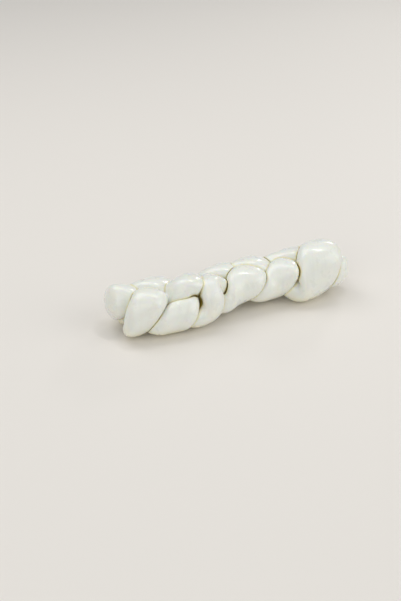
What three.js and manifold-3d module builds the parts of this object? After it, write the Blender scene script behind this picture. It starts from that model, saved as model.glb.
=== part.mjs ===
// Braided string cheese: three soft ropes of cheese plaited into a log that lies on its flattened underside.
// Millimetres. X runs along the log, Y from its near side to its far side, +Z up. The origin is under the
// middle of the log, on the surface that it rests on.
import * as THREE from "three";
import * as BufferGeometryUtils from "three/addons/utils/BufferGeometryUtils.js";
import Module from "manifold-3d";

// ---- the plait ----
// A place along the plait is a lobe number: near lobes turn at 1, 2, 3 ... and far lobes halfway between.
// Each rope comes round to the near side at every third number.
const ROPES_IN_PLAIT = 3;
const PLAIT_ROLL = THREE.MathUtils.degToRad(8); // the whole section leans back from the near side
const LOG_DIRECTION = new THREE.Vector3(1, 0, 0);
const LEAN = 1.2; // lobes lean towards the right end by this much, each way

// Rope centre at each near lobe, in order: its place along X, its reach to the near side, its height over the
// top and under the bottom, and the rope's half width and half thickness there.
const NEAR_LOBES = [
  { x: -117, reach: -6, over: 29, under: 11, halfWidth: 17, halfThick: 13 },
  { x: -97, reach: -17, over: 37, under: 11, halfWidth: 15.5, halfThick: 11.5 },
  { x: -65, reach: -21, over: 29, under: 11, halfWidth: 17, halfThick: 11 },
  { x: -37, reach: -21, over: 35, under: 11, halfWidth: 12.5, halfThick: 11 },
  { x: 3, reach: -10, over: 35.5, under: 15, halfWidth: 17.5, halfThick: 11 },
  { x: 37, reach: -8, over: 30.5, under: 17, halfWidth: 15, halfThick: 11 },
  { x: 76, reach: -16, over: 40, under: 11, halfWidth: 20, halfThick: 12 },
  { x: 103, reach: -8, over: 32, under: 15, halfWidth: 13, halfThick: 12 },
];
const FIRST_NEAR_LOBE = 1;

// The same at each far lobe, which all run equally low under the plait.
const FAR_LOBES = [
  { reach: 10, over: 32, halfWidth: 14 },
  { reach: 15, over: 35, halfWidth: 16.5 },
  { reach: 13, over: 35, halfWidth: 16 },
  { reach: 15, over: 33, halfWidth: 14 },
  { reach: 16, over: 35, halfWidth: 15 },
  { reach: 15, over: 34, halfWidth: 16 },
  { reach: 14, over: 32, halfWidth: 17 },
];
const FIRST_FAR_LOBE = 1.5;
const FAR_UNDER = 11;

// ---- the ropes ----
// Each rope starts and ends at a lobe number. Before "straightFrom" and after "straightTo" it stops turning
// and runs on along the log. "wrapsFrom" is where the last rope stops diving and wraps over the far side
// instead. "dents" are places where the hand-made plait was pushed about: shifts and swellings that fade over
// "spread", and "square" keeps the rope's sections there square to the log.
const ROPES = [
  {
    name: "strand_a",
    nearLobe: 1,
    start: 1.95,
    end: 8.2,
    straightFrom: 0,
    straightTo: 9,
    wrapsFrom: 7.375,
    dents: [
      { at: 2.4, spread: 0.5, x: -9, y: 1 },
      { at: 3.95, spread: 0.3, x: 10 },
      { at: 4.3, spread: 0.25, x: -5.5, width: -1.5 },
      { at: 4.45, spread: 0.35, x: -5, width: -1 },
      { at: 5.5, spread: 0.5, x: -14 },
      { at: 5.8, spread: 0.3, x: -4 },
      { at: 6.75, spread: 0.35, x: 3, y: -1, z: -3 },
      { at: 7.25, spread: 0.3, x: -0.5, width: 1 },
      { at: 7.6, spread: 0.6, x: -3, y: 3, z: 7, width: 2 },
      { at: 8.2, spread: 0.5, x: -13, y: 9 },
    ],
  },
  {
    name: "strand_b",
    nearLobe: 2,
    start: 1.4,
    end: 8.4,
    straightFrom: 1.4,
    straightTo: 8.05,
    wrapsFrom: Infinity,
    dents: [
      { at: 1.9, spread: 0.4, x: 3 },
      { at: 2.65, spread: 0.35, x: -4, z: 4 },
      { at: 3.3, spread: 0.25, y: -2, z: -4 },
      { at: 3.65, spread: 0.25, x: -1, y: -5, width: 2 },
      { at: 3.65, spread: 0.2, y: -1, z: -5, thick: 4 },
      { at: 3.9, spread: 0.5, x: -8, y: -12, z: 6, width: 1, thick: 1 },
      { at: 4.1, spread: 0.25, z: 3.5 },
      { at: 4.7, spread: 0.3, y: 2, z: 2 },
      { at: 5.5, spread: 0.4, x: -3 },
      { at: 6.05, spread: 0.3, x: -4 },
      { at: 6.35, spread: 0.5, x: -18, z: 1 },
      { at: 8.1, spread: 0.6, x: 1, y: 2, z: 4, width: 1, thick: 1.5 },
    ],
  },
  {
    name: "strand_c",
    nearLobe: 3,
    start: 0.75,
    end: 7.45,
    straightFrom: 1.65,
    straightTo: 9,
    wrapsFrom: Infinity,
    dents: [
      { at: 1.0, spread: 0.8, width: 4, thick: 6 },
      { at: 1.4, spread: 0.5, square: 4 },
      { at: 1.75, spread: 0.3, z: -2 },
      { at: 2.95, spread: 0.25, z: -1, width: -1 },
      { at: 3.3, spread: 0.4, x: 2, y: -3, z: -5 },
      { at: 3.3, spread: 0.2, z: -2, width: -1 },
      { at: 3.4, spread: 0.2, x: -1, width: -2.5 },
      { at: 4.5, spread: 0.5, x: -9, z: -1 },
      { at: 5.95, spread: 0.3, x: 5, y: -1, z: -1, width: 1 },
      { at: 6.3, spread: 0.4, x: -2, z: -1 },
      { at: 6.5, spread: 0.4, x: -5 },
    ],
  },
];
const UNDERSIDE_PINCH = 0.15; // the ropes are this much narrower where they pass under the plait
const CROSSING_PINCH = 0.3; // and this much slimmer where they dive through its middle
const CROSSING_SPREAD = 0.4; // share of the plait's half width that a crossing takes
const TURN_SOFTNESS = 0.12; // how gently a rope's straight end joins its turning part, in lobe numbers
const WRAP_BLEND = 0.3; // how gently the last rope's section turns over the far side, in lobe numbers
const WRAP_LEAN = THREE.MathUtils.degToRad(112); // direction in which the wrapping rope starts out thin
const WRAP_TURN = 0.8; // how much that direction turns for each turn round the plait
const SECTION_SQUARENESS = 2.5; // superellipse power: 2 is an ellipse, more is boxier
const SECTION_TURN_SHARPNESS = 1.6; // how quickly the flat section turns at the plait's sides
const END_LENGTH = 15; // length of a rope's rounded end

// ---- the solids ----
const GAP = 0.3; // between two ropes
const RING_STEP = 5.2; // between two sections along a rope
const RING_POINTS = 20;
const NEARBY = 0.01; // in lobe numbers, for the rope's direction
const LENGTH_DIVISIONS = 600; // for measuring along a rope
const END_RINGS = 5;
const RINGS_TO_A_LENGTH = 2;
const TIP_SIZE = 0.001; // a section smaller than this is a tip
const UNFOLD_PASSES = 60;
const LEAST_RING_ADVANCE = 0.5; // less leaves slivers where a rope touches itself in a tight bend
const SOFTENING = 0.5; // how far a point moves towards the middle of its neighbours along the rope
const REST_HEIGHT = 2.2; // the underside is pressed flat this far above the lowest rope's round underside
const REST_BLOCK = 400; // longer than the log

const wasm = await Module();
wasm.setup();

// Value of one key at a place between listed lobes, smooth through all of them, held level past the ends.
function betweenLobes(lobes, firstLobe, key, at) {
  const last = lobes.length - 1;
  const place = THREE.MathUtils.clamp(at - firstLobe, 0, last);
  const index = Math.min(Math.floor(place), last - 1);
  const value = (i) => lobes[THREE.MathUtils.clamp(i, 0, last)][key];
  return catmullRom(value(index - 1), value(index), value(index + 1), value(index + 2), place - index);
}

function catmullRom(before, from, to, after, share) {
  const slope = -before + to;
  const bend = 2 * before - 5 * from + 4 * to - after;
  const twist = -before + 3 * from - 3 * to + after;
  return 0.5 * (2 * from + slope * share + bend * share ** 2 + twist * share ** 3);
}

// Place of a lobe along X, which goes on evenly past the first and last lobes.
function lobeX(at) {
  const first = NEAR_LOBES[0].x;
  const last = NEAR_LOBES.at(-1).x;
  const firstGap = NEAR_LOBES[1].x - first;
  const lastGap = last - NEAR_LOBES.at(-2).x;
  const evenEnds = [
    { x: first - 2 * firstGap },
    { x: first - firstGap },
    ...NEAR_LOBES,
    { x: last + lastGap },
    { x: last + 2 * lastGap },
  ];
  return betweenLobes(evenEnds, FIRST_NEAR_LOBE - 2, "x", at);
}

function dent(rope, at, key) {
  const sum = (total, d) => total + (d[key] ?? 0) * Math.exp(-(((at - d.at) / d.spread) ** 2));
  return rope.dents.reduce(sum, 0);
}

// Zero below zero and the same number above it, with a soft corner.
function softRamp(number) {
  return 0.5 * (number + Math.hypot(number, 2 * TURN_SOFTNESS));
}

// Angle of the rope round the plait: 0 at its near lobe, a half turn at its far lobe.
function turnAngle(rope, at) {
  const held = rope.straightFrom + softRamp(at - rope.straightFrom);
  const place = rope.straightTo - softRamp(rope.straightTo - held);
  return (2 * Math.PI * (place - rope.nearLobe)) / ROPES_IN_PLAIT;
}

// Centre of the rope. Seen along the log it draws a lying figure of eight, over and under the other two.
function ropeCentre(rope, at) {
  const angle = turnAngle(rope, at);
  const nearness = (1 + Math.cos(angle)) / 2;
  const nearReach = betweenLobes(NEAR_LOBES, FIRST_NEAR_LOBE, "reach", at);
  const farReach = betweenLobes(FAR_LOBES, FIRST_FAR_LOBE, "reach", at);
  const nearOver = betweenLobes(NEAR_LOBES, FIRST_NEAR_LOBE, "over", at);
  const farOver = betweenLobes(FAR_LOBES, FIRST_FAR_LOBE, "over", at);
  const nearUnder = betweenLobes(NEAR_LOBES, FIRST_NEAR_LOBE, "under", at);
  const over = THREE.MathUtils.lerp(farOver, nearOver, nearness);
  const under = THREE.MathUtils.lerp(FAR_UNDER, nearUnder, nearness);
  const across = (farReach + nearReach) / 2 - ((farReach - nearReach) / 2) * Math.cos(angle);
  const riseShare = at > rope.wrapsFrom ? Math.cos(angle - Math.PI / 4) : Math.sin(2 * angle);
  const rise = ((over - under) / 2) * riseShare;
  return new THREE.Vector3(
    lobeX(at) + LEAN * Math.sin(2 * angle) + dent(rope, at, "x"),
    across * Math.cos(PLAIT_ROLL) + rise * Math.sin(PLAIT_ROLL) + dent(rope, at, "y"),
    (over + under) / 2 + rise * Math.cos(PLAIT_ROLL) - across * Math.sin(PLAIT_ROLL) + dent(rope, at, "z"),
  );
}

// Direction in which the rope is thin: up over the plait, out to the side at its lobes.
function thinAngle(rope, at) {
  const angle = turnAngle(rope, at);
  const turned = Math.tanh(SECTION_TURN_SHARPNESS * Math.sin(angle)) / Math.tanh(SECTION_TURN_SHARPNESS);
  const plaited = Math.PI - (Math.PI / 2) * turned;
  const wrapped = WRAP_LEAN - WRAP_TURN * (angle - turnAngle(rope, rope.wrapsFrom));
  const blend = THREE.MathUtils.smoothstep(at, rope.wrapsFrom, rope.wrapsFrom + WRAP_BLEND);
  return (blend > 0 ? THREE.MathUtils.lerp(plaited, wrapped, blend) : plaited) - PLAIT_ROLL;
}

// The rope's centre with its own directions: along it, across its thickness and across its width.
function ropeFrame(rope, at) {
  const centre = ropeCentre(rope, at);
  const along = ropeCentre(rope, at + NEARBY).sub(ropeCentre(rope, at - NEARBY)).normalize();
  along.addScaledVector(LOG_DIRECTION, dent(rope, at, "square")).normalize();
  const lean = thinAngle(rope, at);
  const thin = new THREE.Vector3(0, Math.cos(lean), Math.sin(lean));
  thin.addScaledVector(along, -thin.dot(along)).normalize();
  const wide = new THREE.Vector3().crossVectors(along, thin);
  return { centre, along, thin, wide };
}

// Only where a rope turns through the plait is it pinched by the other two.
function isPlaited(rope, at) {
  return at > rope.straightFrom && at < Math.min(rope.straightTo, rope.wrapsFrom);
}

// Share of the full section that is left where the rope dives between the other two.
function crossingShare(rope, at) {
  const nearness = Math.exp(-((Math.cos(turnAngle(rope, at)) / CROSSING_SPREAD) ** 2));
  return isPlaited(rope, at) ? 1 - CROSSING_PINCH * nearness : 1;
}

// Share of the full width that is left where the rope passes under the plait.
function undersideShare(rope, at) {
  const nearness = Math.max(0, -Math.sin(2 * turnAngle(rope, at)));
  return isPlaited(rope, at) ? 1 - UNDERSIDE_PINCH * nearness : 1;
}

function halfWidth(rope, at) {
  const near = betweenLobes(NEAR_LOBES, FIRST_NEAR_LOBE, "halfWidth", at);
  const far = betweenLobes(FAR_LOBES, FIRST_FAR_LOBE, "halfWidth", at);
  const nearness = (1 + Math.cos(turnAngle(rope, at))) / 2;
  const wide = THREE.MathUtils.lerp(far, near, nearness) + dent(rope, at, "width");
  return wide * undersideShare(rope, at) * crossingShare(rope, at);
}

function halfThick(rope, at) {
  const thick = betweenLobes(NEAR_LOBES, FIRST_NEAR_LOBE, "halfThick", at) + dent(rope, at, "thick");
  return thick * crossingShare(rope, at);
}

// Stations along the rope with the share of the full section there: even steps, closer on the rounded ends.
function stations(rope) {
  const curve = new THREE.Curve();
  curve.getPoint = (share) => ropeCentre(rope, THREE.MathUtils.lerp(rope.start, rope.end, share));
  curve.arcLengthDivisions = LENGTH_DIVISIONS;
  const length = curve.getLength();
  const station = (distance, size) => {
    const share = curve.getUtoTmapping(0, distance);
    return { at: THREE.MathUtils.lerp(rope.start, rope.end, share), size };
  };
  const list = [];
  for (let i = 0; i < END_RINGS; i++) {
    const roundness = (i / END_RINGS) * (Math.PI / 2);
    list.push(station(END_LENGTH * (1 - Math.cos(roundness)), Math.sin(roundness)));
  }
  const body = length - 2 * END_LENGTH;
  const steps = Math.round(body / RING_STEP);
  for (let i = 0; i <= steps; i++) {
    list.push(station(END_LENGTH + (body * i) / steps, 1));
  }
  for (let i = END_RINGS - 1; i >= 0; i--) {
    const roundness = (i / END_RINGS) * (Math.PI / 2);
    list.push(station(length - END_LENGTH * (1 - Math.cos(roundness)), Math.sin(roundness)));
  }
  return list;
}

function signedPower(number, power) {
  return Math.sign(number) * Math.abs(number) ** power;
}

// One section of the rope.
function ring(rope, frame, at, size) {
  const points = [];
  for (let i = 0; i < RING_POINTS; i++) {
    const turn = (2 * Math.PI * i) / RING_POINTS;
    const wide = halfWidth(rope, at) * size * signedPower(Math.cos(turn), 2 / SECTION_SQUARENESS);
    const thin = halfThick(rope, at) * size * signedPower(Math.sin(turn), 2 / SECTION_SQUARENESS);
    points.push(frame.centre.clone().addScaledVector(frame.wide, wide).addScaledVector(frame.thin, thin));
  }
  return points;
}

// On the inside of a tight bend neighbouring sections would cross: this slides such points apart.
function unfold(rings, frames) {
  for (let pass = 0; pass < UNFOLD_PASSES; pass++) {
    for (let r = 1; r < rings.length; r++) {
      const along = new THREE.Vector3().addVectors(frames[r - 1].along, frames[r].along).normalize();
      for (let i = 0; i < RING_POINTS; i++) {
        const advance = new THREE.Vector3().subVectors(rings[r][i], rings[r - 1][i]).dot(along);
        const lacking = Math.max(0, LEAST_RING_ADVANCE - advance) / 2;
        rings[r][i].addScaledVector(along, lacking);
        rings[r - 1][i].addScaledVector(along, -lacking);
      }
    }
  }
}

function middleOf(ring) {
  const sum = ring.reduce((total, point) => total.add(point), new THREE.Vector3());
  return sum.divideScalar(ring.length);
}

// Every point moves towards its neighbours along the rope, and each tip towards the ring next to it.
function soften(rings) {
  const before = rings.map((points) => points.map((point) => point.clone()));
  const last = rings.length - 1;
  for (let r = 1; r < last; r++) {
    rings[r].forEach((point, i) => {
      const beside = before[r - 1][i].clone().lerp(before[r + 1][i], 0.5);
      point.lerp(beside, SOFTENING);
    });
  }
  rings[0].fill(middleOf(before[0]).lerp(middleOf(before[1]), SOFTENING));
  rings[last].fill(middleOf(before[last]).lerp(middleOf(before[last - 1]), SOFTENING));
}

// Sections of the whole rope, from tip to tip, "grown" all round by a clearance.
function ropeRings(rope, grown) {
  const places = stations(rope);
  const frames = places.map((place) => ropeFrame(rope, place.at));
  const rings = places.map((place, r) => ring(rope, frames[r], place.at, place.size));
  unfold(rings, frames);
  soften(rings);
  return rings.map((points, r) => {
    const tipDirection = frames[r].along.clone().multiplyScalar(r === 0 ? -1 : 1);
    return grownRing(points, grown, tipDirection);
  });
}

// The section pushed out all round by a clearance; a tip, which has no width, is pushed out along the rope.
function grownRing(points, grown, tipDirection) {
  const middle = middleOf(points);
  return points.map((point) => {
    const outward = point.clone().sub(middle);
    const direction = outward.length() > TIP_SIZE ? outward.normalize() : tipDirection;
    return point.clone().addScaledVector(direction, grown);
  });
}

// Closed skin over rows of points: a sphere's grid whose first and last rows are each drawn to one point.
function skinGeometry(rows) {
  const geometry = new THREE.SphereGeometry(1, RING_POINTS, rows.length - 1);
  const position = geometry.getAttribute("position");
  rows.forEach((points, row) => {
    for (let column = 0; column <= RING_POINTS; column++) {
      const point = points[column % RING_POINTS];
      position.setXYZ(row * (RING_POINTS + 1) + column, point.x, point.y, point.z);
    }
  });
  geometry.setIndex(cellTriangles(position, rows.length));
  return geometry;
}

// A twisted skin is smoothest when each of its cells is split along its shorter diagonal.
function cellTriangles(position, rowCount) {
  const corner = (row, column) => row * (RING_POINTS + 1) + column;
  const point = (i) => new THREE.Vector3().fromBufferAttribute(position, i);
  const triangles = [];
  for (let row = 0; row < rowCount - 1; row++) {
    for (let column = 0; column < RING_POINTS; column++) {
      const a = corner(row, column + 1);
      const b = corner(row, column);
      const c = corner(row + 1, column);
      const d = corner(row + 1, column + 1);
      if (row === 0) {
        triangles.push(b, c, d);
      } else if (row === rowCount - 2) {
        triangles.push(a, b, d);
      } else if (point(a).distanceTo(point(c)) < point(b).distanceTo(point(d))) {
        triangles.push(a, b, c, a, c, d);
      } else {
        triangles.push(a, b, d, b, c, d);
      }
    }
  }
  return triangles;
}

// A short length of the rope, with a flat end wherever it isn't the rope's own tip.
function lengthSolid(rings, first, last) {
  const rows = rings.slice(first, last + 1);
  if (first > 0) {
    rows.unshift(new Array(RING_POINTS).fill(middleOf(rings[first])));
  }
  if (last < rings.length - 1) {
    rows.push(new Array(RING_POINTS).fill(middleOf(rings[last])));
  }
  return solidFromGeometry(skinGeometry(rows));
}

function solidFromGeometry(geometry) {
  geometry.deleteAttribute("normal");
  geometry.deleteAttribute("uv");
  const merged = BufferGeometryUtils.mergeVertices(geometry);
  const mesh = new wasm.Mesh({
    numProp: 3,
    vertProperties: merged.getAttribute("position").array,
    triVerts: new Uint32Array(merged.getIndex().array),
  });
  return new wasm.Manifold(mesh);
}

function geometryFromSolid(solid) {
  const mesh = solid.getMesh();
  const geometry = new THREE.BufferGeometry();
  geometry.setAttribute("position", new THREE.BufferAttribute(mesh.vertProperties, 3));
  geometry.setIndex(largestBody(mesh.triVerts, mesh.numVert));
  geometry.computeVertexNormals();
  return geometry;
}

// Cutting soft shapes leaves specks between them, so only the body with the most triangles is kept.
function largestBody(triangles, cornerCount) {
  const leader = Array.from({ length: cornerCount }, (unused, corner) => corner);
  const leaderOf = (corner) => {
    let at = corner;
    while (leader[at] !== at) {
      at = leader[at];
    }
    leader[corner] = at;
    return at;
  };
  const corners = Array.from(triangles);
  corners.forEach((corner, i) => {
    leader[leaderOf(corner)] = leaderOf(corners[i - (i % 3)]);
  });
  const counts = new Map();
  corners.forEach((corner) => counts.set(leaderOf(corner), (counts.get(leaderOf(corner)) ?? 0) + 1));
  const larger = (body, other) => (counts.get(other) > counts.get(body) ? other : body);
  const largest = [...counts.keys()].reduce(larger);
  return corners.filter((corner) => leaderOf(corner) === largest);
}

// Block that cuts the plait flat where it rests.
function restBlock() {
  const block = new THREE.BoxGeometry(REST_BLOCK, REST_BLOCK, REST_BLOCK);
  block.translate(0, 0, REST_HEIGHT - REST_BLOCK / 2);
  return solidFromGeometry(block);
}

// The rope lies against itself in tight bends, so short lengths of it are joined one by one.
function ropeSolid(rope, grown) {
  const rings = ropeRings(rope, grown);
  const last = rings.length - 1;
  let solid = lengthSolid(rings, 0, RINGS_TO_A_LENGTH);
  for (let first = RINGS_TO_A_LENGTH; first < last; first += RINGS_TO_A_LENGTH) {
    solid = solid.add(lengthSolid(rings, first, Math.min(first + RINGS_TO_A_LENGTH, last)));
  }
  return solid;
}

// The ropes are squeezed together: each gives way to the ones before it, and all are pressed flat underneath.
function plaitedSolids() {
  const rest = restBlock();
  const whole = ROPES.map((rope) => ropeSolid(rope, 0));
  const cleared = ROPES.map((rope, i) => ropeSolid(rope, GAP).add(whole[i]));
  return whole.map((solid, i) => {
    const before = cleared.slice(0, i);
    return before.reduce((left, other) => left.subtract(other), solid.subtract(rest));
  });
}

const cheese = new THREE.MeshStandardMaterial({ color: 0xf1f0e2, roughness: 0.32, metalness: 0 });

const braid = new THREE.Group();
plaitedSolids().forEach((solid, i) => {
  const mesh = new THREE.Mesh(geometryFromSolid(solid), cheese);
  mesh.name = ROPES[i].name;
  braid.add(mesh);
});
const box = new THREE.Box3().setFromObject(braid);
const middle = box.getCenter(new THREE.Vector3());
braid.children.forEach((mesh) => mesh.position.set(-middle.x, -middle.y, -REST_HEIGHT));

export default braid;
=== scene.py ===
"""Looks for the braided string cheese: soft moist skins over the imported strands, floor, lights and camera.

The skins are worked out from the same named sizes as the solids, in millimetres, and only finer. The rest is
in metres, in the frame of the solids: X along the log, Y from its near to its far side, Z up from the rest.
"""
import math
import bpy
import numpy as np
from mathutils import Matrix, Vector, noise
from mathutils.bvhtree import BVHTree
from mathutils.kdtree import KDTree


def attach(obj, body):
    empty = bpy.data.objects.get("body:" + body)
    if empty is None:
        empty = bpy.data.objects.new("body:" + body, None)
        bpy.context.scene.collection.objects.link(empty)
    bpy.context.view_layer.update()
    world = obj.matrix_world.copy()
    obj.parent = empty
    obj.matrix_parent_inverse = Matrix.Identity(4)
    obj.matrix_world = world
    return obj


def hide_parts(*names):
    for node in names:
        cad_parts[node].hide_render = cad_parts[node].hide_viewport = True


MM = 0.001

# ---- the plait, in millimetres ----
# A place along the plait is a lobe number: near lobes turn at 1, 2, 3 ... and far lobes halfway between.
# Each list has one number for each lobe, in order.
NEAR = {
    "x": (-117, -97, -65, -37, 3, 37, 76, 103),
    "reach": (-6, -17, -21, -21, -10, -8, -16, -8),
    "over": (29, 37, 29, 35, 35.5, 30.5, 40, 32),
    "under": (11, 11, 11, 11, 15, 17, 11, 15),
    "half_width": (17, 15.5, 17, 12.5, 17.5, 15, 20, 13),
    "half_thick": (13, 11.5, 11, 11, 11, 11, 12, 12),
}
FAR = {
    "reach": (10, 15, 13, 15, 16, 15, 14),
    "over": (32, 35, 35, 33, 35, 34, 32),
    "half_width": (14, 16.5, 16, 14, 15, 16, 17),
}
FIRST_NEAR, FIRST_FAR = 1.0, 1.5
FAR_UNDER = 11.0
PLAIT_ROLL = math.radians(8)  # the whole section leans back from the near side
LOG_DIRECTION = np.array([1.0, 0.0, 0.0])
LEAN = 1.2  # lobes lean towards the right end by this much, each way
ROPES_IN_PLAIT = 3
NEVER = 99.0  # a lobe number past every rope's end

# ---- the ropes, in millimetres ----
# Before "straight_from" and after "straight_to" a rope stops turning and runs on along the log. "wraps_from"
# is where the last rope stops diving and wraps over the far side instead. Dents are shifts and swellings that
# fade over "spread", and "square" keeps the sections there square to the log.
ROPES = {
    "strand_a": {
        "near_lobe": 1, "start": 1.95, "end": 8.2,
        "straight_from": 0.0, "straight_to": 9.0, "wraps_from": 7.375,
        "dents": (
            {"at": 2.4, "spread": 0.5, "x": -9, "y": 1},
            {"at": 3.95, "spread": 0.3, "x": 10},
            {"at": 4.3, "spread": 0.25, "x": -5.5, "width": -1.5},
            {"at": 4.45, "spread": 0.35, "x": -5, "width": -1},
            {"at": 5.5, "spread": 0.5, "x": -14},
            {"at": 5.8, "spread": 0.3, "x": -4},
            {"at": 6.75, "spread": 0.35, "x": 3, "y": -1, "z": -3},
            {"at": 7.25, "spread": 0.3, "x": -0.5, "width": 1},
            {"at": 7.6, "spread": 0.6, "x": -3, "y": 3, "z": 7, "width": 2},
            {"at": 8.2, "spread": 0.5, "x": -13, "y": 9},
        ),
    },
    "strand_b": {
        "near_lobe": 2, "start": 1.4, "end": 8.4,
        "straight_from": 1.4, "straight_to": 8.05, "wraps_from": NEVER,
        "dents": (
            {"at": 1.9, "spread": 0.4, "x": 3},
            {"at": 2.65, "spread": 0.35, "x": -4, "z": 4},
            {"at": 3.3, "spread": 0.25, "y": -2, "z": -4},
            {"at": 3.65, "spread": 0.25, "x": -1, "y": -5, "width": 2},
            {"at": 3.65, "spread": 0.2, "y": -1, "z": -5, "thick": 4},
            {"at": 3.9, "spread": 0.5, "x": -8, "y": -12, "z": 6, "width": 1, "thick": 1},
            {"at": 4.1, "spread": 0.25, "z": 3.5},
            {"at": 4.7, "spread": 0.3, "y": 2, "z": 2},
            {"at": 5.5, "spread": 0.4, "x": -3},
            {"at": 6.05, "spread": 0.3, "x": -4},
            {"at": 6.35, "spread": 0.5, "x": -18, "z": 1},
            {"at": 8.1, "spread": 0.6, "x": 1, "y": 2, "z": 4, "width": 1, "thick": 1.5},
        ),
    },
    "strand_c": {
        "near_lobe": 3, "start": 0.75, "end": 7.45,
        "straight_from": 1.65, "straight_to": 9.0, "wraps_from": NEVER,
        "dents": (
            {"at": 1.0, "spread": 0.8, "width": 4, "thick": 6},
            {"at": 1.4, "spread": 0.5, "square": 4},
            {"at": 1.75, "spread": 0.3, "z": -2},
            {"at": 2.95, "spread": 0.25, "z": -1, "width": -1},
            {"at": 3.3, "spread": 0.4, "x": 2, "y": -3, "z": -5},
            {"at": 3.3, "spread": 0.2, "z": -2, "width": -1},
            {"at": 3.4, "spread": 0.2, "x": -1, "width": -2.5},
            {"at": 4.5, "spread": 0.5, "x": -9, "z": -1},
            {"at": 5.95, "spread": 0.3, "x": 5, "y": -1, "z": -1, "width": 1},
            {"at": 6.3, "spread": 0.4, "x": -2, "z": -1},
            {"at": 6.5, "spread": 0.4, "x": -5},
        ),
    },
}
UNDERSIDE_PINCH = 0.15  # the ropes are this much narrower where they pass under the plait
CROSSING_PINCH = 0.3  # and this much slimmer where they dive through its middle
CROSSING_SPREAD = 0.4  # share of the plait's half width that a crossing takes
TURN_SOFTNESS = 0.12  # how gently a rope's straight end joins its turning part, in lobe numbers
WRAP_BLEND = 0.3  # how gently the last rope's section turns over the far side, in lobe numbers
WRAP_LEAN = math.radians(112)  # direction in which the wrapping rope starts out thin
WRAP_TURN = 0.8  # how much that direction turns for each turn round the plait
SECTION_SQUARENESS = 2.5  # superellipse power: 2 is an ellipse, more is boxier
SECTION_TURN_SHARPNESS = 1.6  # how quickly the flat section turns at the plait's sides
END_LENGTH = 15.0  # length of a rope's rounded end
REST_HEIGHT = 2.2  # the underside is pressed flat this far above the lowest rope's round underside

# ---- the skins ----
RINGS = 320
RING_POINTS = 96
LENGTH_DIVISIONS = 2000  # for measuring along a rope
NEARBY = 0.01  # in lobe numbers, for the rope's direction
UNFOLD_PASSES = 60
LEAST_ADVANCE = 0.1  # of the mean step, between two rings
SOFT_SPREAD = 3.6  # millimetres over which a rope is softened along its length
PASS_SPREAD_SQUARED = 0.5  # of one softening pass, in steps between rings
ROUGH_VOXEL = 0.8 * MM  # mesh size of a rope before it is cut
FINE_VOXEL = 0.7 * MM  # mesh size of the finished skin
ROUGH_RELAX, FINE_RELAX = 8, 5  # smoothing steps
RELAX_SHARE = 0.5
SKIN_INSET = 0.15 * MM  # half the width of a crease where the strands touch
CREASE_REACH = 1.3 * MM  # how far from its neighbour a strand's rim takes the painted crease shade
HOLLOW_SPREAD = 16 * MM  # between the soft hollows that hands leave in the cheese
HOLLOW_DEPTH = 0.6 * MM
HOLLOW_RISE = 4 * MM  # height over which they begin, since the underside lies flat

# The strands stand a little apart between the third and fourth lobes from the left, between the fourth and
# fifth, and beside the widest lobe. Each is drawn in by "depth" there, which fades over "reach" along the
# crease and over "breadth" away from it, all in millimetres.
# The partings also get olive painted shade, strongest in their middles.
PARTINGS = (
    {"place": (-38.5, -20.0, 28.5), "reach": 8.0, "breadth": 2.5, "depth": 1.4},
    {"place": (-11.0, -12.5, 28.5), "reach": 9.0, "breadth": 1.3, "depth": 0.4},
    {"place": (60.5, -14.0, 35.0), "reach": 9.0, "breadth": 1.3, "depth": 0.6},
)

# They are pressed tight between the second and third lobes, and between the fifth and sixth. Both strands
# swell there, and fill most of the gap between them.
PRESSINGS = (
    {"place": (-73.0, -20.0, 28.0), "reach": 9.0},
    {"place": (25.0, -12.0, 25.0), "reach": 14.0},
)
PRESSED_SHARE = 0.48  # of the gap that each of the two strands fills
PRESSED_GAP = 6 * MM  # much wider gaps stay open

# ---- the cheese ----
CHEESE_BODY = (0.84, 0.85, 0.78, 1.0)  # greyish white of the strands' faces
CREAM_TONE_AND_PAINTED_GLOW = (0.86, 0.81, 0.56, 1.0)  # pale yellow: the cheese's own faint clouds, and painted glow and shade along the creases' rims and low down
PAINTED_CREASE_SHADE = (0.78, 0.75, 0.57, 1.0)  # painted shade, a deeper yellow, where the strands touch
PAINTED_PARTING_SHADE = (0.42, 0.32, 0.06, 1.0)  # olive brown painted shade in the partings
CHEESE_GREY = (0.78, 0.79, 0.73, 1.0)  # thin darker fibres along the strands
RIM_GLOW_FROM, RIM_GLOW_TO = 0.2, 0.75  # crease shade values between which the face takes the painted glow and shade of the rims
CREASE_SHADE_FROM, CREASE_SHADE_TO = 0.8, 1.0  # between which the painted rim glow turns into the deeper yellow painted crease shade
PARTING_SHADE_FROM, PARTING_SHADE_TO = 1.0, 1.7  # and between which that turns into the olive painted parting shade
CLOUD_SCALE, CLOUD_DETAIL = 45.0, 3.0
CLOUD_FROM, CLOUD_TO, CLOUD_MOST = 0.5, 0.8, 0.3
BOUNCE_FROM, BOUNCE_TO, BOUNCE_MOST = 14 * MM, 2 * MM, 0.7  # heights over which painted warm bounce light turns the strands cream towards the bottom
FIBRE_SCALE, FIBRE_DETAIL = 420.0, 2.0
FIBRE_STRETCH = (0.1, 1.0, 1.0)  # the fibres run along the strand
FIBRE_FROM, FIBRE_TO, FIBRE_MOST = 0.45, 0.75, 0.5
FIBRE_HEIGHT = 0.05 * MM
WET_SCALE, WET_DETAIL = 120.0, 2.0  # wetter and drier patches
WET_FROM, WET_TO = 0.35, 0.65
WETTEST, DRIEST = 0.24, 0.42  # roughness of either
COLOUR_A, COLOUR_B, COLOUR_RESULT = 6, 7, 2  # the colour sockets of a mix node
SCATTER_SHARE = 0.6
SCATTER_RADIUS = (1.0, 0.82, 0.52)
SCATTER_DEPTH = 3 * MM
MOIST_COAT = 0.5
MOIST_COAT_ROUGHNESS = 0.1

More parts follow.
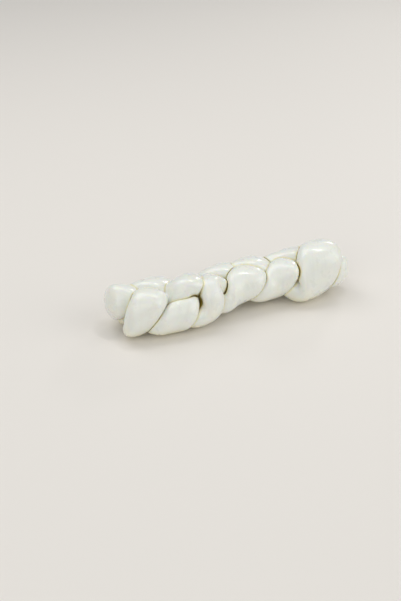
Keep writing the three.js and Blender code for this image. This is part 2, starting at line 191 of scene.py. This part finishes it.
# ---- the camera ----
CAMERA_PLACE = Vector((-0.3554, -0.8037, 0.5650))
CAMERA_AZIMUTH = math.radians(22.0)
CAMERA_PITCH = math.radians(32.35)
PICTURE_LONG_SIDE = 601
FOCAL_PIXELS = 1129.58
SENSOR = 36.0  # mm, for the picture's long side

# ---- the studio ----
FLOOR_SIZE = 4.0
FLOOR_COLOUR = (0.82, 0.78, 0.72, 1.0)
FLOOR_ROUGHNESS = 0.6
WORLD_COLOUR = (0.95, 0.97, 1.0, 1.0)
WORLD_STRENGTH = 0.42
LIGHTS = {
    "key": {"place": (-0.35, 0.55, 1.1), "width": 0.8, "height": 0.8, "power": 4.4},
    "high_window": {"place": (0.30, 0.20, 1.10), "width": 0.40, "height": 0.05, "power": 1.5},
    "low_window": {"place": (0.77, 0.77, 0.50), "width": 0.12, "height": 0.12, "power": 0.9},
    "left_fill": {"place": (-0.9, -0.9, 0.8), "width": 1.2, "height": 1.2, "power": 5.0},
    "right_fill": {"place": (1.0, -0.8, 0.75), "width": 1.2, "height": 1.2, "power": 6.8},
}


def between_lobes(values, first, at):
    """Smooth through all the lobes' values, and held level past the ends."""
    values = np.asarray(values, float)
    last = len(values) - 1
    place = np.clip(np.asarray(at, float) - first, 0.0, last)
    index = np.minimum(np.floor(place).astype(int), last - 1)
    share = place - index
    before, start, end, after = (values[np.clip(index + step, 0, last)] for step in (-1, 0, 1, 2))
    bend = 2 * before - 5 * start + 4 * end - after
    twist = -before + 3 * start - 3 * end + after
    return 0.5 * (2 * start + (end - before) * share + bend * share**2 + twist * share**3)


def lobe_x(at):
    """Place of a lobe along X, which goes on evenly past the first and last lobes."""
    x = NEAR["x"]
    first_gap, last_gap = x[1] - x[0], x[-1] - x[-2]
    even_ends = (x[0] - 2 * first_gap, x[0] - first_gap, *x, x[-1] + last_gap, x[-1] + 2 * last_gap)
    return between_lobes(even_ends, FIRST_NEAR - 2, at)


def dent(rope, at, key):
    """What the rope's dents add to one of its sizes or places."""
    return sum(d.get(key, 0.0) * np.exp(-(((at - d["at"]) / d["spread"]) ** 2)) for d in rope["dents"])


def soft_ramp(number):
    """Zero below zero and the same number above it, with a soft corner."""
    return 0.5 * (number + np.hypot(number, 2 * TURN_SOFTNESS))


def turn_angle(rope, at):
    """Angle of the rope round the plait: 0 at its near lobe, a half turn at its far lobe."""
    held = rope["straight_from"] + soft_ramp(at - rope["straight_from"])
    place = rope["straight_to"] - soft_ramp(rope["straight_to"] - held)
    return 2 * math.pi * (place - rope["near_lobe"]) / ROPES_IN_PLAIT


def near_or_far(rope, at, near, far):
    nearness = (1 + np.cos(turn_angle(rope, at))) / 2
    return far + (near - far) * nearness


def rope_centre(rope, at):
    """Seen along the log the rope draws a lying figure of eight, over and under the other two."""
    angle = turn_angle(rope, at)
    near_reach = between_lobes(NEAR["reach"], FIRST_NEAR, at)
    far_reach = between_lobes(FAR["reach"], FIRST_FAR, at)
    near_over = between_lobes(NEAR["over"], FIRST_NEAR, at)
    far_over = between_lobes(FAR["over"], FIRST_FAR, at)
    over = near_or_far(rope, at, near_over, far_over)
    under = near_or_far(rope, at, between_lobes(NEAR["under"], FIRST_NEAR, at), FAR_UNDER)
    across = (far_reach + near_reach) / 2 - (far_reach - near_reach) / 2 * np.cos(angle)
    wrapped = np.cos(angle - math.pi / 4)
    rise = (over - under) / 2 * np.where(at > rope["wraps_from"], wrapped, np.sin(2 * angle))
    middle_height = (over + under) / 2
    x = lobe_x(at) + LEAN * np.sin(2 * angle) + dent(rope, at, "x")
    y = across * math.cos(PLAIT_ROLL) + rise * math.sin(PLAIT_ROLL) + dent(rope, at, "y")
    z = middle_height + rise * math.cos(PLAIT_ROLL) - across * math.sin(PLAIT_ROLL) + dent(rope, at, "z")
    return np.stack([x, y, z], -1)


def thin_angle(rope, at):
    """Direction in which the rope is thin: up over the plait, out to the side at its lobes."""
    angle = turn_angle(rope, at)
    turned = np.tanh(SECTION_TURN_SHARPNESS * np.sin(angle)) / math.tanh(SECTION_TURN_SHARPNESS)
    plaited = math.pi - math.pi / 2 * turned
    wrapped = WRAP_LEAN - WRAP_TURN * (angle - turn_angle(rope, rope["wraps_from"]))
    place = np.clip((at - rope["wraps_from"]) / WRAP_BLEND, 0.0, 1.0)
    blend = place * place * (3 - 2 * place)
    return plaited + (wrapped - plaited) * blend - PLAIT_ROLL


def unit(vectors):
    return vectors / np.linalg.norm(vectors, axis=-1, keepdims=True)


def rope_frame(rope, at):
    """The rope's centres with its own directions there: along it, across its thickness, across its width."""
    along = unit(rope_centre(rope, at + NEARBY) - rope_centre(rope, at - NEARBY))
    square = dent(rope, at, "square") + np.zeros_like(at)
    along = unit(along + square[:, None] * LOG_DIRECTION)
    lean = thin_angle(rope, at)
    thin = np.stack([np.zeros_like(lean), np.cos(lean), np.sin(lean)], -1)
    thin = unit(thin - np.sum(thin * along, 1, keepdims=True) * along)
    return rope_centre(rope, at), along, thin, np.cross(along, thin)


def section_sizes(rope, at):
    """Half width and half thickness, slimmer where the other two ropes pinch this one."""
    angle = turn_angle(rope, at)
    plaited = (at > rope["straight_from"]) & (at < min(rope["straight_to"], rope["wraps_from"]))
    crossing = 1 - CROSSING_PINCH * np.exp(-((np.cos(angle) / CROSSING_SPREAD) ** 2)) * plaited
    underside = 1 - UNDERSIDE_PINCH * np.maximum(0.0, -np.sin(2 * angle)) * plaited
    near_width = between_lobes(NEAR["half_width"], FIRST_NEAR, at)
    wide = near_or_far(rope, at, near_width, between_lobes(FAR["half_width"], FIRST_FAR, at))
    wide = (wide + dent(rope, at, "width")) * crossing * underside
    thick = (between_lobes(NEAR["half_thick"], FIRST_NEAR, at) + dent(rope, at, "thick")) * crossing
    return wide, thick


def end_shares(centres):
    """Share of the full section at each ring: 1, falling roundly to 0 at both tips."""
    steps = np.linalg.norm(np.diff(centres, axis=0), axis=1)
    travelled = np.concatenate([[0.0], np.cumsum(steps)])
    to_tip = np.minimum(travelled, travelled[-1] - travelled)
    inward = 1 - np.clip(to_tip / END_LENGTH, 0.0, 1.0)
    return np.sqrt(1 - inward**2)


def signed_power(number, power):
    return np.sign(number) * np.abs(number) ** power


def even_places(rope):
    """Lobe numbers of rings that are equally far apart along the rope."""
    at = np.linspace(rope["start"], rope["end"], LENGTH_DIVISIONS)
    steps = np.linalg.norm(np.diff(rope_centre(rope, at), axis=0), axis=1)
    travelled = np.concatenate([[0.0], np.cumsum(steps)])
    return np.interp(np.linspace(0.0, travelled[-1], RINGS), travelled, at)


def rope_rings(rope):
    """Sections of the whole rope from tip to tip, as rings of points."""
    at = even_places(rope)
    centres, along, thin, wide = rope_frame(rope, at)
    shares = end_shares(centres)
    half_width, half_thick = (size * shares for size in section_sizes(rope, at))
    turn = np.linspace(0.0, 2 * math.pi, RING_POINTS, endpoint=False)
    across = half_width[:, None] * signed_power(np.cos(turn), 2 / SECTION_SQUARENESS)
    through = half_thick[:, None] * signed_power(np.sin(turn), 2 / SECTION_SQUARENESS)
    points = centres[:, None] + wide[:, None] * across[..., None] + thin[:, None] * through[..., None]
    return softened(unfolded(points, along), shares**2)


def mean_step(points):
    return np.linalg.norm(np.diff(points.mean(1), axis=0), axis=1).mean()


def unfolded(points, along):
    """On the inside of a tight bend neighbouring sections would cross: this slides such points apart."""
    points = points.copy()
    forward = unit(along[1:] + along[:-1])
    least = LEAST_ADVANCE * mean_step(points)
    for _ in range(UNFOLD_PASSES):
        for parity in (0, 1):
            after = np.arange(1 + parity, len(points), 2)
            way = forward[after - 1]
            advance = np.einsum("ijk,ik->ij", points[after] - points[after - 1], way)
            shift = way[:, None] * (np.maximum(0.0, least - advance) / 2)[..., None]
            points[after] += shift
            points[after - 1] -= shift
    return points


def softened(points, shares):
    """Every point moves towards its neighbours along the rope, less so near the tips, which stay."""
    passes = round((SOFT_SPREAD / mean_step(points)) ** 2 / PASS_SPREAD_SQUARED)
    for _ in range(passes):
        between = (points[2:] + points[:-2]) / 2
        moved = points.copy()
        moved[1:-1] += (between - points[1:-1]) / 2 * shares[1:-1, None, None]
        points = moved
    return points


def centred_rings():
    """The rings of all the ropes in metres, with the plait's middle over the origin and its rest at zero."""
    rings = {name: rope_rings(rope) for name, rope in ROPES.items()}
    everything = np.concatenate([points.reshape(-1, 3) for points in rings.values()])
    middle = (everything.min(0) + everything.max(0)) / 2
    origin = np.array([middle[0], middle[1], REST_HEIGHT])
    return {name: (points - origin) * MM for name, points in rings.items()}


def rope_mesh(name, rings):
    """Closed mesh over the rings, with a fan of triangles at each tip."""
    body = rings[1:-1].reshape(-1, 3)
    points = np.concatenate([rings[0][:1], body, rings[-1][:1]])
    rows = len(rings) - 2
    end = len(points) - 1
    faces = []
    for column in range(RING_POINTS):
        beside = (column + 1) % RING_POINTS
        faces.append((0, 1 + beside, 1 + column))
        for row in range(rows - 1):
            low, high = 1 + row * RING_POINTS, 1 + (row + 1) * RING_POINTS
            faces.append((low + column, low + beside, high + beside, high + column))
        last = 1 + (rows - 1) * RING_POINTS
        faces.append((last + column, last + beside, end))
    mesh = bpy.data.meshes.new(name)
    mesh.from_pydata(points.tolist(), [], faces)
    return mesh


def add_piece(name, mesh):
    piece = bpy.data.objects.new(name, mesh)
    bpy.context.scene.collection.objects.link(piece)
    return piece


def apply_modifiers(piece):
    """Gives the piece the mesh that its modifiers make, and takes them off."""
    graph = bpy.context.evaluated_depsgraph_get()
    mesh = bpy.data.meshes.new_from_object(piece.evaluated_get(graph))
    piece.modifiers.clear()
    piece.data = mesh


def make_even(piece, voxel, relax_steps):
    """An even mesh with no overlaps inside it, and a relaxed surface."""
    remesh = piece.modifiers.new("even", "REMESH")
    remesh.mode = "VOXEL"
    remesh.voxel_size = voxel
    relax = piece.modifiers.new("relaxed", "SMOOTH")
    relax.factor = RELAX_SHARE
    relax.iterations = relax_steps
    apply_modifiers(piece)


def mesh_points(mesh, field):
    values = np.empty(len(mesh.vertices) * 3)
    mesh.vertices.foreach_get(field, values)
    return values.reshape(-1, 3)


def push_out(mesh, distances):
    """Moves the surface outwards by a distance, or by one for each vertex."""
    moved = mesh_points(mesh, "co") + mesh_points(mesh, "normal") * distances
    mesh.vertices.foreach_set("co", moved.ravel())
    mesh.update()


def flatten_underside(mesh):
    points = mesh_points(mesh, "co")
    points[:, 2] = np.maximum(points[:, 2], 0.0)
    mesh.vertices.foreach_set("co", points.ravel())
    mesh.update()


def cut_by(piece, cutters):
    for cutter in cutters:
        cut = piece.modifiers.new("cut", "BOOLEAN")
        cut.operation = "DIFFERENCE"
        cut.solver = "MANIFOLD"
        cut.object = cutter
    apply_modifiers(piece)


def soft_skins(ropes_rings):
    """The three ropes squeezed together: each gives way to the ones before it."""
    pieces, cutters = [], []
    for name, rings in ropes_rings.items():
        piece = add_piece(name + "_skin", rope_mesh(name, rings))
        make_even(piece, ROUGH_VOXEL, ROUGH_RELAX)
        whole = add_piece(name + "_whole", piece.data.copy())
        cut_by(piece, cutters)
        cutters.append(whole)
        make_even(piece, FINE_VOXEL, FINE_RELAX)
        push_out(piece.data, -SKIN_INSET)
        flatten_underside(piece.data)
        pieces.append(piece)
    for cutter in cutters:
        bpy.data.objects.remove(cutter)
    return pieces


def surface_tree(mesh):
    return BVHTree.FromPolygons([v.co for v in mesh.vertices], [p.vertices for p in mesh.polygons])


def distances_to(trees, mesh):
    """How far each vertex is from the nearest of the other strands."""
    return np.array([min(tree.find_nearest(v.co)[3] for tree in trees) for v in mesh.vertices])


def nearness(spot, points):
    """1 in the middle of a parting or pressing, falling to 0 away from it."""
    away = np.linalg.norm(points / MM - np.array(spot["place"]), axis=1)
    return np.exp(-((away / spot["reach"]) ** 2))


def swellings(points, apart):
    """How far the strands swell towards each other, which is always less than half of their gap."""
    pressed = np.max([nearness(pressing, points) for pressing in PRESSINGS], axis=0)
    return PRESSED_SHARE * apart * pressed * np.exp(-((apart / PRESSED_GAP) ** 2))


def hollows(points):
    """How deep the soft hollows are at each point."""
    heights = np.array([noise.noise(Vector(point) / HOLLOW_SPREAD) for point in points])
    return HOLLOW_DEPTH * (1 - heights) / 2 * np.clip(points[:, 2] / HOLLOW_RISE, 0.0, 1.0)


def shape_faces(pieces):
    """Swells each skin at the pressings, and draws it in at the partings and in soft hollows on its faces.

    The attribute made here sets the painted crease shade: 1 where strands touch, up to 2 in a parting, 0 on
    the faces.
    """
    trees = [surface_tree(piece.data) for piece in pieces]
    for i, piece in enumerate(pieces):
        apart = np.maximum(distances_to(trees[:i] + trees[i + 1:], piece.data) - 2 * SKIN_INSET, 0.0)
        closeness = np.exp(-apart / CREASE_REACH)
        points = mesh_points(piece.data, "co")
        shares = [nearness(parting, points) for parting in PARTINGS]
        depths = hollows(points) * (1 - closeness)
        for parting, share in zip(PARTINGS, shares):
            depths += parting["depth"] * MM * share * np.exp(-apart / (parting["breadth"] * MM))
        push_out(piece.data, (swellings(points, apart) - depths)[:, None])
        flatten_underside(piece.data)
        # painted shade: how strongly the creases and partings are coloured darker and yellower
        attribute = piece.data.attributes.new("crease_shade", "FLOAT", "POINT")
        attribute.data.foreach_set("value", closeness * (1 + np.max(shares, axis=0)))


def nearest_rings(mesh, rings):
    tree = KDTree(rings.size // 3)
    for i, point in enumerate(rings.reshape(-1, 3)):
        tree.insert(point, i)
    tree.balance()
    return np.array([tree.find(v.co)[1] for v in mesh.vertices]) // RING_POINTS


def add_grain(mesh, rings):
    """Keeps as "grain" where each vertex would be if its strand lay straight: along and across it."""
    rings = rings[1:-1]  # a tip has no sides
    centres = rings.mean(1)
    steps = np.linalg.norm(np.diff(centres, axis=0), axis=1)
    travelled = np.concatenate([[0.0], np.cumsum(steps)])
    ahead = unit(np.gradient(centres, axis=0))
    wide = unit(rings[:, 0] - centres)
    thin = unit(rings[:, RING_POINTS // 4] - centres)
    ring = nearest_rings(mesh, rings)
    offset = mesh_points(mesh, "co") - centres[ring]
    ways = np.stack([ahead[ring], wide[ring], thin[ring]], 1)
    grain = np.einsum("ijk,ik->ij", ways, offset)
    grain[:, 0] += travelled[ring]
    mesh.attributes.new("grain", "FLOAT_VECTOR", "POINT").data.foreach_set("vector", grain.ravel())


def dress(piece, node_name, material):
    piece.data.materials.clear()
    piece.data.materials.append(material)
    piece.data.polygons.foreach_set("use_smooth", [True] * len(piece.data.polygons))
    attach(piece, "root")
    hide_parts(node_name)


def shader_node(tree, kind, **inputs):
    node = tree.nodes.new(kind)
    for name, value in inputs.items():
        node.inputs[name].default_value = value
    return node


def tinted(tree, amount, colour_a, colour_b):
    """Colour A turning into colour B by an amount; either colour is a value or another node's output."""
    blend = tree.nodes.new("ShaderNodeMix")
    blend.data_type = "RGBA"
    tree.links.new(amount, blend.inputs["Factor"])
    for socket, colour in ((blend.inputs[COLOUR_A], colour_a), (blend.inputs[COLOUR_B], colour_b)):
        if isinstance(colour, tuple):
            socket.default_value = colour
        else:
            tree.links.new(colour, socket)
    return blend.outputs[COLOUR_RESULT]


def ramped(tree, value, low, high, most=1.0):
    """0 below low and "most" above high, with soft ends."""
    ramp = shader_node(tree, "ShaderNodeMapRange", **{"From Min": low, "From Max": high, "To Max": most})
    ramp.interpolation_type = "SMOOTHSTEP"
    tree.links.new(value, ramp.inputs["Value"])
    return ramp.outputs["Result"]


def kept(tree, name, output):
    """An attribute that the skins keep."""
    attribute = tree.nodes.new("ShaderNodeAttribute")
    attribute.attribute_name = name
    return attribute.outputs[output]


# how much painted shade a crease or parting gets
def crease_shade_amount(tree, low, high):
    return ramped(tree, kept(tree, "crease_shade", "Fac"), low, high)


def object_place(tree):
    return tree.nodes.new("ShaderNodeTexCoord").outputs["Object"]


def noise_pattern(tree, place, scale, detail):
    pattern = shader_node(tree, "ShaderNodeTexNoise", Scale=scale, Detail=detail)
    tree.links.new(place, pattern.inputs["Vector"])
    return pattern.outputs["Fac"]


def cloud_amount(tree):
    clouds = noise_pattern(tree, object_place(tree), CLOUD_SCALE, CLOUD_DETAIL)
    return ramped(tree, clouds, CLOUD_FROM, CLOUD_TO, CLOUD_MOST)


# painted warm bounce light, stronger towards the bottom
def painted_bounce_amount(tree):
    split = tree.nodes.new("ShaderNodeSeparateXYZ")
    tree.links.new(object_place(tree), split.inputs["Vector"])
    return ramped(tree, split.outputs["Z"], BOUNCE_FROM, BOUNCE_TO, BOUNCE_MOST)


def fibres(tree):
    stretch = tree.nodes.new("ShaderNodeVectorMath")
    stretch.operation = "MULTIPLY"
    stretch.inputs[1].default_value = FIBRE_STRETCH
    tree.links.new(kept(tree, "grain", "Vector"), stretch.inputs[0])
    return noise_pattern(tree, stretch.outputs["Vector"], FIBRE_SCALE, FIBRE_DETAIL)


def fibre_relief(tree, fibre):
    bump = shader_node(tree, "ShaderNodeBump", Distance=FIBRE_HEIGHT)
    tree.links.new(fibre, bump.inputs["Height"])
    return bump.outputs["Normal"]


def wetness_roughness(tree):
    patches = noise_pattern(tree, object_place(tree), WET_SCALE, WET_DETAIL)
    spread = shader_node(tree, "ShaderNodeMapRange", **{"From Min": WET_FROM, "From Max": WET_TO})
    spread.inputs["To Min"].default_value = WETTEST
    spread.inputs["To Max"].default_value = DRIEST
    tree.links.new(patches, spread.inputs["Value"])
    return spread.outputs["Result"]


# the cheese's own fibres and clouds, with painted bounce light, rim glow and crease shade over them
def cheese_colour_and_painted_light(tree, fibre):
    fibre_amount = ramped(tree, fibre, FIBRE_FROM, FIBRE_TO, FIBRE_MOST)
    colour = tinted(tree, fibre_amount, CHEESE_BODY, CHEESE_GREY)
    colour = tinted(tree, cloud_amount(tree), colour, CREAM_TONE_AND_PAINTED_GLOW)
    # painted warm bounce light towards the bottom
    colour = tinted(tree, painted_bounce_amount(tree), colour, CREAM_TONE_AND_PAINTED_GLOW)
    # painted glow and shade along the creases' rims, then painted shade in the creases and the partings
    colour = tinted(tree, crease_shade_amount(tree, RIM_GLOW_FROM, RIM_GLOW_TO), colour, CREAM_TONE_AND_PAINTED_GLOW)
    colour = tinted(tree, crease_shade_amount(tree, CREASE_SHADE_FROM, CREASE_SHADE_TO), colour, PAINTED_CREASE_SHADE)
    return tinted(tree, crease_shade_amount(tree, PARTING_SHADE_FROM, PARTING_SHADE_TO), colour, PAINTED_PARTING_SHADE)


def cheese_material():
    material = bpy.data.materials.new("moist_cheese")
    material.use_nodes = True
    tree = material.node_tree
    shader = tree.nodes["Principled BSDF"]
    shader.inputs["Subsurface Weight"].default_value = SCATTER_SHARE
    shader.inputs["Subsurface Radius"].default_value = SCATTER_RADIUS
    shader.inputs["Subsurface Scale"].default_value = SCATTER_DEPTH
    shader.inputs["Coat Weight"].default_value = MOIST_COAT
    shader.inputs["Coat Roughness"].default_value = MOIST_COAT_ROUGHNESS
    fibre = fibres(tree)
    tree.links.new(cheese_colour_and_painted_light(tree, fibre), shader.inputs["Base Color"])
    tree.links.new(wetness_roughness(tree), shader.inputs["Roughness"])
    tree.links.new(fibre_relief(tree, fibre), shader.inputs["Normal"])
    return material


def add_camera():
    lens = bpy.data.cameras.new("camera")
    lens.sensor_width = SENSOR
    lens.lens = FOCAL_PIXELS * SENSOR / PICTURE_LONG_SIDE
    camera = bpy.data.objects.new("camera", lens)
    bpy.context.scene.collection.objects.link(camera)
    level = math.cos(CAMERA_PITCH)
    ahead, aside = math.cos(CAMERA_AZIMUTH) * level, math.sin(CAMERA_AZIMUTH) * level
    looking = Vector((aside, ahead, -math.sin(CAMERA_PITCH)))
    camera.location = CAMERA_PLACE
    camera.rotation_mode = "QUATERNION"
    camera.rotation_quaternion = looking.to_track_quat("-Z", "Y")
    bpy.context.scene.camera = camera


def add_floor():
    half = FLOOR_SIZE / 2
    corners = [(-half, -half, 0), (half, -half, 0), (half, half, 0), (-half, half, 0)]
    mesh = bpy.data.meshes.new("floor")
    mesh.from_pydata(corners, [], [(0, 1, 2, 3)])
    floor = add_piece("floor", mesh)
    material = bpy.data.materials.new("pale_floor")
    material.use_nodes = True
    shader = material.node_tree.nodes["Principled BSDF"]
    shader.inputs["Base Color"].default_value = FLOOR_COLOUR
    shader.inputs["Roughness"].default_value = FLOOR_ROUGHNESS
    mesh.materials.append(material)


def add_light(name, setting):
    lamp = bpy.data.lights.new(name, "AREA")
    lamp.shape = "RECTANGLE"
    lamp.size = setting["width"]
    lamp.size_y = setting["height"]
    lamp.energy = setting["power"]
    light = bpy.data.objects.new(name, lamp)
    bpy.context.scene.collection.objects.link(light)
    light.location = setting["place"]
    light.rotation_mode = "QUATERNION"
    light.rotation_quaternion = (-Vector(setting["place"])).to_track_quat("-Z", "Y")


def add_world():
    world = bpy.data.worlds.new("studio")
    world.use_nodes = True
    background = world.node_tree.nodes["Background"]
    background.inputs["Color"].default_value = WORLD_COLOUR
    background.inputs["Strength"].default_value = WORLD_STRENGTH
    bpy.context.scene.world = world


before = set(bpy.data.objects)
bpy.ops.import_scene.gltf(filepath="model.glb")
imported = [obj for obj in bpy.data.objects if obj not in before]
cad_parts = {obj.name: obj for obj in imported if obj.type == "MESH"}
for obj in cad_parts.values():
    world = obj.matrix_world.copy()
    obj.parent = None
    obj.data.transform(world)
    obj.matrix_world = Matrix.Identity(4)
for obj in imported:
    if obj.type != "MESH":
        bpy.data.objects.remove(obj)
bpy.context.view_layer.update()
strand_rings = centred_rings()
skins = soft_skins(strand_rings)
shape_faces(skins)
cheese = cheese_material()
for (node_name, skin_rings), skin in zip(strand_rings.items(), skins):
    add_grain(skin.data, skin_rings)
    dress(skin, node_name, cheese)
add_camera()
add_floor()
for light_name, light_setting in LIGHTS.items():
    add_light(light_name, light_setting)
add_world()
bpy.context.scene.view_settings.view_transform = "Standard"
